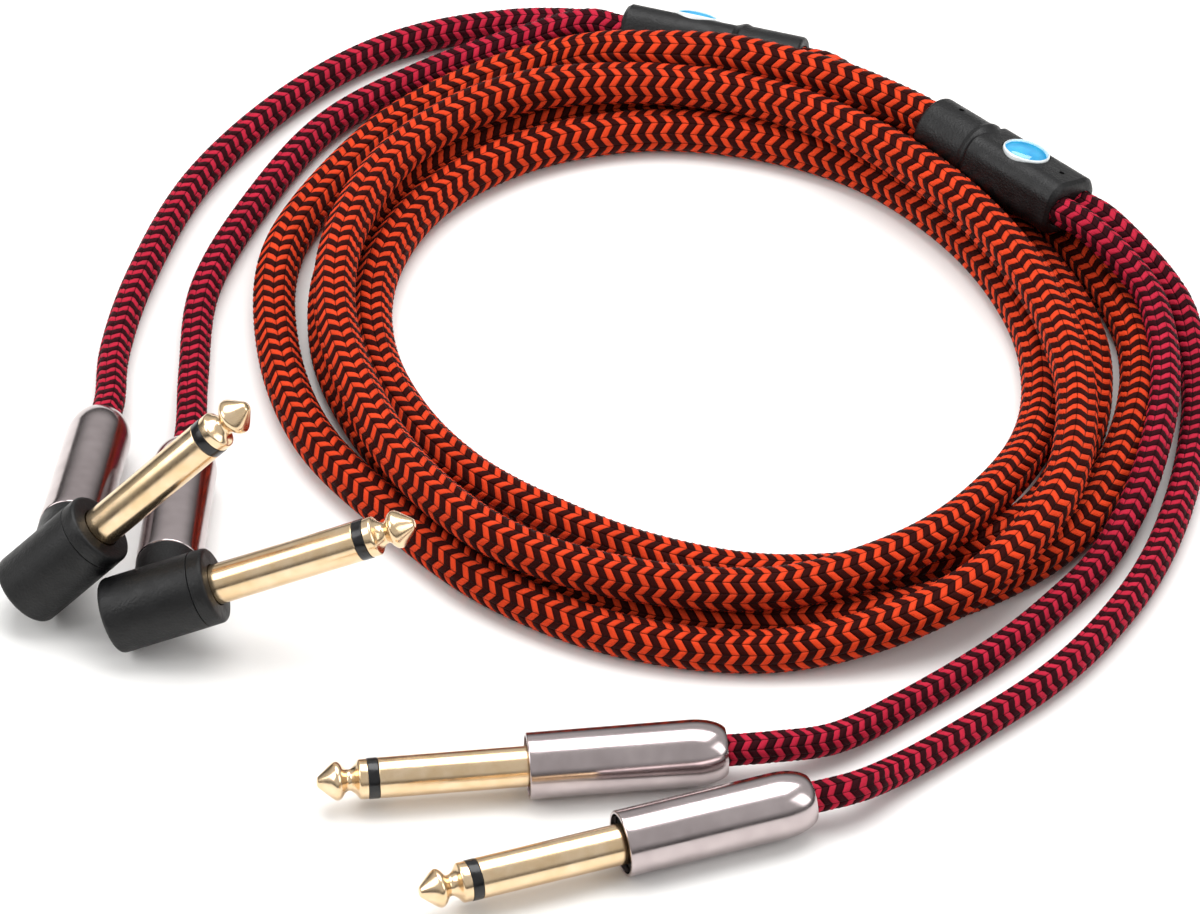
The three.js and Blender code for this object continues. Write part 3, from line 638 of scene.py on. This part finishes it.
def barrel_profile():
    """A thin-walled tube with a rolled rim in front and a rounded dome behind."""
    rear = -BARREL_LENGTH
    points = [(-1.0, BARREL_BORE), (0, BARREL_BORE, 0.1), (0, BARREL - 0.02, 0.35),
              (-1.5, BARREL - 0.02)]
    start = rear + DOME_LENGTH
    for step in range(DOME_STEPS + 1):
        angle = DOME_ARC * step / DOME_STEPS
        points.append((start - DOME_LENGTH * sin(angle) / sin(DOME_ARC),
                       CORD_HOLE + (BARREL - 0.02 - CORD_HOLE) * cos(angle)))
    last = points[-1]
    points += [(rear - 0.05, last[1] - 0.2, 0.15), (rear, CORD_HOLE, 0.15),
               (rear + 1.4, CORD_HOLE, 0.2),
               (start + 0.5, BARREL_BORE), (-1.0, BARREL_BORE)]
    return points


def make_pin(name, tip, flange, flange_radius, insulator_rear, sleeve_rear, rod_rear):
    place = PLACE[name]
    dress(turned(name + "_tip", place, [gold_plate], (tip_profile(tip, rod_rear), 0)),
          BASE, "gold_plate", name + "_tip_contact")
    dress(turned(name + "_insulating_ring", place, [acetal],
                 (insulator_profile(tip, insulator_rear), 0)),
          BASE, "gloss_black", name + "_tip_insulator")
    dress(turned(name + "_sleeve", place, [gold_plate],
                 (sleeve_profile(tip, flange, flange_radius, sleeve_rear), 0)),
          BASE, "gold_plate", name + "_sleeve_contact")


def make_barrel(name):
    barrel = turned(name + "_barrel_shell", BARREL_PLACE[name], [black_nickel],
                    (barrel_profile(), 0))
    dress(barrel, name + "_barrel_screw", "dark_chrome", name + "_barrel")


def make_straight_plug(name):
    make_pin(name, STRAIGHT_EXPOSED, -2.6, SHANK, -9, -9, -11.7)
    face = [(-2.3, SLEEVE + SEAM), (-2.3, SHANK, 0.1), (-1.0, SHANK, 0.3),
            (-0.9, SHANK - 0.4, 0.1), (-0.9, SLEEVE + 0.8, 0.2),
            (-1.3, SLEEVE + 0.6, 0.1), (-1.3, SLEEVE + SEAM), (-2.3, SLEEVE + SEAM)]
    dress(turned(name + "_front_ring", PLACE[name], [abs_black], (face, 0)),
          BASE, "black_plastic", name + "_face_ring")
    make_barrel(name)


def carved(piece, place, sharp, *steps, use_self=False):
    """Joins a piece with others, or cuts it by them, then sets it in its place."""
    for operation, other in steps:
        boolean = piece.modifiers.new(operation.lower(), "BOOLEAN")
        boolean.operation = operation
        boolean.solver = "EXACT"
        boolean.use_self = use_self
        boolean.object = other
    evaluated = piece.evaluated_get(bpy.context.evaluated_depsgraph_get())
    mesh = bpy.data.meshes.new_from_object(evaluated)
    piece.modifiers.clear()
    piece.data = mesh
    for _, other in steps:
        bpy.data.objects.remove(other)
    mesh.transform(place)
    mesh.shade_smooth()
    mesh.set_sharp_from_angle(angle=radians(sharp))


def elbow_meshes():
    """The pin's housing and the neck to the barrel, each by itself."""
    nose = ELBOW_FRONT - NOSE - 0.07
    body = bmesh.new()
    turned_mesh(body, [(-ELBOW_REAR, 0), (-ELBOW_REAR, ELBOW, 0.9), (nose, ELBOW, 0.15),
                       (nose, ELBOW - 1.4), (nose, 0)])
    neck = bmesh.new()
    along_barrel = Matrix.Rotation(-pi / 2, 4, "Z")
    turned_mesh(neck, [(-NECK_HEIGHT - 9, 0), (-NECK_HEIGHT - 9, SHANK, 0.2),
                       (-NECK_HEIGHT, SHANK), (-NECK_HEIGHT, BARREL - 0.1, 0.25),
                       (-2, BARREL - 0.1), (-2, 0)],
                along_barrel)
    return body, neck


def make_elbow(name):
    elbow, neck = [finished(name + "_" + part, build, [abs_black])
                   for part, build in zip(("elbow", "neck"), elbow_meshes())]
    carved(elbow, PLACE[name], 32, ("UNION", neck))
    dress(elbow, BASE, "black_plastic", name + "_elbow_housing")


def make_angled_plug(name):
    make_pin(name, ELBOW_FRONT + ANGLED_EXPOSED, ELBOW_FRONT - NOSE - SEAM, 4.4, -2.6,
             ELBOW_FRONT - 4, -4.9)
    make_elbow(name)
    rear = ELBOW_FRONT - NOSE
    nose = [(rear, SLEEVE + SEAM), (rear, ELBOW - 0.02, 0.15), (ELBOW_FRONT, ELBOW - 0.02, 0.7),
            (ELBOW_FRONT, SLEEVE + 0.12, 0.15), (ELBOW_FRONT - 1.2, SLEEVE + 0.1),
            (rear, SLEEVE + SEAM)]
    dress(turned(name + "_front_ring", PLACE[name], [abs_black], (nose, 0)),
          BASE, "black_plastic", name + "_elbow_nose")
    make_barrel(name)


for plug in STRAIGHT_PLUGS:
    make_straight_plug(plug)
for plug in ANGLED_PLUGS:
    make_angled_plug(plug)


# ---- splitters ------------------------------------------------------------------------
COLLAR_LENGTH = 10.5
COLLAR = 5
SPLIT_WIDTH = 11.2
SPLIT_THICKNESS = 9.2
SPLIT_CORNER = 3.2
TRUNK_BORE = 3.65
LEG_BORE = 2.6
LEG_BORE_START = 18.5
COLLAR_MARK = 4.5                   # where the ejector pins left their dimples
BAR_MARK = 26.5
BADGE = 3.9
BADGE_MIDDLE = 18.8                 # from the trunk's end


def bar_outline(width, thickness, corner, steps=8):
    """A rounded rectangle across the splitter, as (y, z) places."""
    outline = []
    for quarter, (sy, sz) in enumerate(((1, 1), (-1, 1), (-1, -1), (1, -1))):
        for step in range(steps + 1):
            angle = (quarter + step / steps) * pi / 2
            outline.append((sy * (width / 2 - corner) + corner * cos(angle),
                            sz * (thickness / 2 - corner) + corner * sin(angle)))
    return outline


def shell_mesh(build):
    """The splitter's moulded bar, rounded and eased at both ends. The round collar that steps out
    to it, the holes for the cords and the badge's seat are left to the pieces joined to it and cut
    from it."""
    rings = []
    edge = 0.9
    sections = [(COLLAR_LENGTH, edge), (COLLAR_LENGTH + 0.27, edge * 0.45),
                (COLLAR_LENGTH + edge, 0), (SPLIT_LENGTH - edge, 0),
                (SPLIT_LENGTH - 0.27, edge * 0.45), (SPLIT_LENGTH, edge)]
    for x, inset in sections:
        outline = bar_outline(SPLIT_WIDTH - 2 * inset, SPLIT_THICKNESS - 2 * inset,
                              SPLIT_CORNER - inset * 0.5)
        rings.append([build.verts.new((x, y, z)) for y, z in outline])
    for one, two in zip(rings, rings[1:]):
        count = len(one)
        for side in range(count):
            build.faces.new((one[side], two[side], two[(side + 1) % count],
                             one[(side + 1) % count]))
    build.faces.new(rings[0])
    build.faces.new(list(reversed(rings[-1])))
    return build


def make_splitter(name):
    bar = bmesh.new()
    shell_mesh(bar)
    shell = finished(name + "_moulding", bar, [abs_black])
    collar_build = bmesh.new()
    turned_mesh(collar_build, [(0, 0), (0, COLLAR, 0.7), (COLLAR_LENGTH - 1.2, COLLAR, 0.1),
                               (COLLAR_LENGTH - 0.2, COLLAR + 0.3, 0.3),
                               (COLLAR_LENGTH + 2, COLLAR - 0.6), (COLLAR_LENGTH + 2, 0)])
    collar = finished(name + "_collar", collar_build, [])
    bore_build = bmesh.new()
    turned_mesh(bore_build, [(-1, 0), (-1, TRUNK_BORE), (COLLAR_LENGTH, TRUNK_BORE),
                             (COLLAR_LENGTH, 0)])
    top = SPLIT_THICKNESS / 2
    to_badge = Matrix.Translation((BADGE_MIDDLE, 0, 0)) @ Matrix.Rotation(-pi / 2, 4, "Y")
    turned_mesh(bore_build, [(top - 0.6, 0), (top - 0.6, BADGE + 0.15), (top + 1, BADGE + 0.15),
                             (top + 1, 0)], to_badge)
    for x, height in ((COLLAR_MARK, COLLAR), (BAR_MARK, top)):
        pin_mark = Matrix.Translation((x, 0, 0)) @ Matrix.Rotation(-pi / 2, 4, "Y")
        turned_mesh(bore_build, [(height - 0.35, 0), (height - 0.35, 0.45), (height + 1, 0.5),
                                 (height + 1, 0)], pin_mark, sides=24)
    for side in (-1, 1):
        turned_mesh(bore_build, [(LEG_BORE_START, 0), (LEG_BORE_START, LEG_BORE),
                                 (SPLIT_LENGTH + 1, LEG_BORE), (SPLIT_LENGTH + 1, 0)],
                    Matrix.Translation((0, side * LEG_SPACING / 2, 0)), sides=40)
    bores = finished(name + "_bores", bore_build, [])
    carved(shell, PLACE[name], 28, ("UNION", collar), ("DIFFERENCE", bores), use_self=True)
    dress(shell, BASE, "black_plastic", name + "_lower_shell", name + "_upper_shell")

    low, high = top - 0.55, top + 1.2
    dome = [(low, 0), (low, BADGE - 0.3), (high - 0.92, BADGE - 0.3, 0.1),
            (high - 0.45, BADGE * 0.75, 0.6), (high - 0.1, BADGE * 0.4, 0.8), (high, 0)]
    rim = [(low, BADGE - 0.3), (low, BADGE), (high - 1.1, BADGE, 0.2),
           (high - 0.88, BADGE - 0.2, 0.1), (high - 0.92, BADGE - 0.3), (low, BADGE - 0.3)]
    badge = turned(name + "_badge_dome", PLACE[name] @ to_badge, [blue_resin, white_resin],
                   (dome, 0), (rim, 1))
    dress(badge, BASE, "blue_badge", name + "_badge")


for splitter in SPLITTERS:
    make_splitter(splitter)

# ---- finishes of the pieces inside ----------------------------------------------------
INSIDE = {"liner": pvc_clear, "cord_clamp": tinned, "tip_lug": tinned, "core_wire": copper,
          "rear_insulator": abs_black, "splice_ferrule": tinned}
for node_name, node_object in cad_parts.items():
    kind = node_name.split("_", 1)[1]
    if kind in INSIDE:
        for index in range(len(node_object.material_slots)):
            node_object.material_slots[index].material = INSIDE[kind]


for leg, spec in LEGS.items():
    piece, route = legs[leg]
    plug = spec["plug"]


# ---- floor and light ------------------------------------------------------------------
def make_floor():
    build = bmesh.new()
    bmesh.ops.create_grid(build, x_segments=8, y_segments=8, size=2.5)
    floor = finished("floor", build, [finish("painted board, matt", "#F1F0EE", "#EFEEEC", 60,
                                             (0.6, 0.7), 3, 0.01, IOR=1.45)])


def area_light(name, place, size, power, tint="#FFFFFF"):
    lamp = bpy.data.lights.new(name, "AREA")
    lamp.shape = "RECTANGLE"
    lamp.size, lamp.size_y = size
    lamp.energy = power
    lamp.color = colour(tint)[:3]
    holder = bpy.data.objects.new(name, lamp)
    holder.location = place
    holder.rotation_euler = (LOOK_AT - Vector(place)).to_track_quat("-Z", "Y").to_euler()
    bpy.context.collection.objects.link(holder)


def light_studio():
    area_light("overhead softbox", (0.1, 0.35, 1.2), (1.2, 0.9), 16)
    area_light("left softbox", (-1.0, -0.2, 0.8), (0.7, 0.9), 7)
    area_light("right softbox", (1.1, -0.4, 0.7), (0.6, 0.8), 4)
    world = bpy.data.worlds.new("studio")
    world.use_nodes = True
    tree = world.node_tree
    background = tree.nodes["Background"]
    # Pale overhead and dim round the sides, so that the metal has something to mirror.
    where = add(tree, "ShaderNodeTexCoord")
    height = add(tree, "ShaderNodeSeparateXYZ", {0: where.outputs["Generated"]})
    ramp = add(tree, "ShaderNodeValToRGB", {0: height.outputs[2]})
    ramp.color_ramp.elements[0].position = 0.06
    ramp.color_ramp.elements[0].color = colour("#241F1F")
    ramp.color_ramp.elements[1].position = 0.4
    ramp.color_ramp.elements[1].color = colour("#FFFFFF")
    tree.links.new(ramp.outputs[0], background.inputs["Color"])
    background.inputs["Strength"].default_value = 0.65
    bpy.context.scene.world = world
    bpy.context.scene.view_settings.view_transform = "Standard"


make_floor()
light_studio()
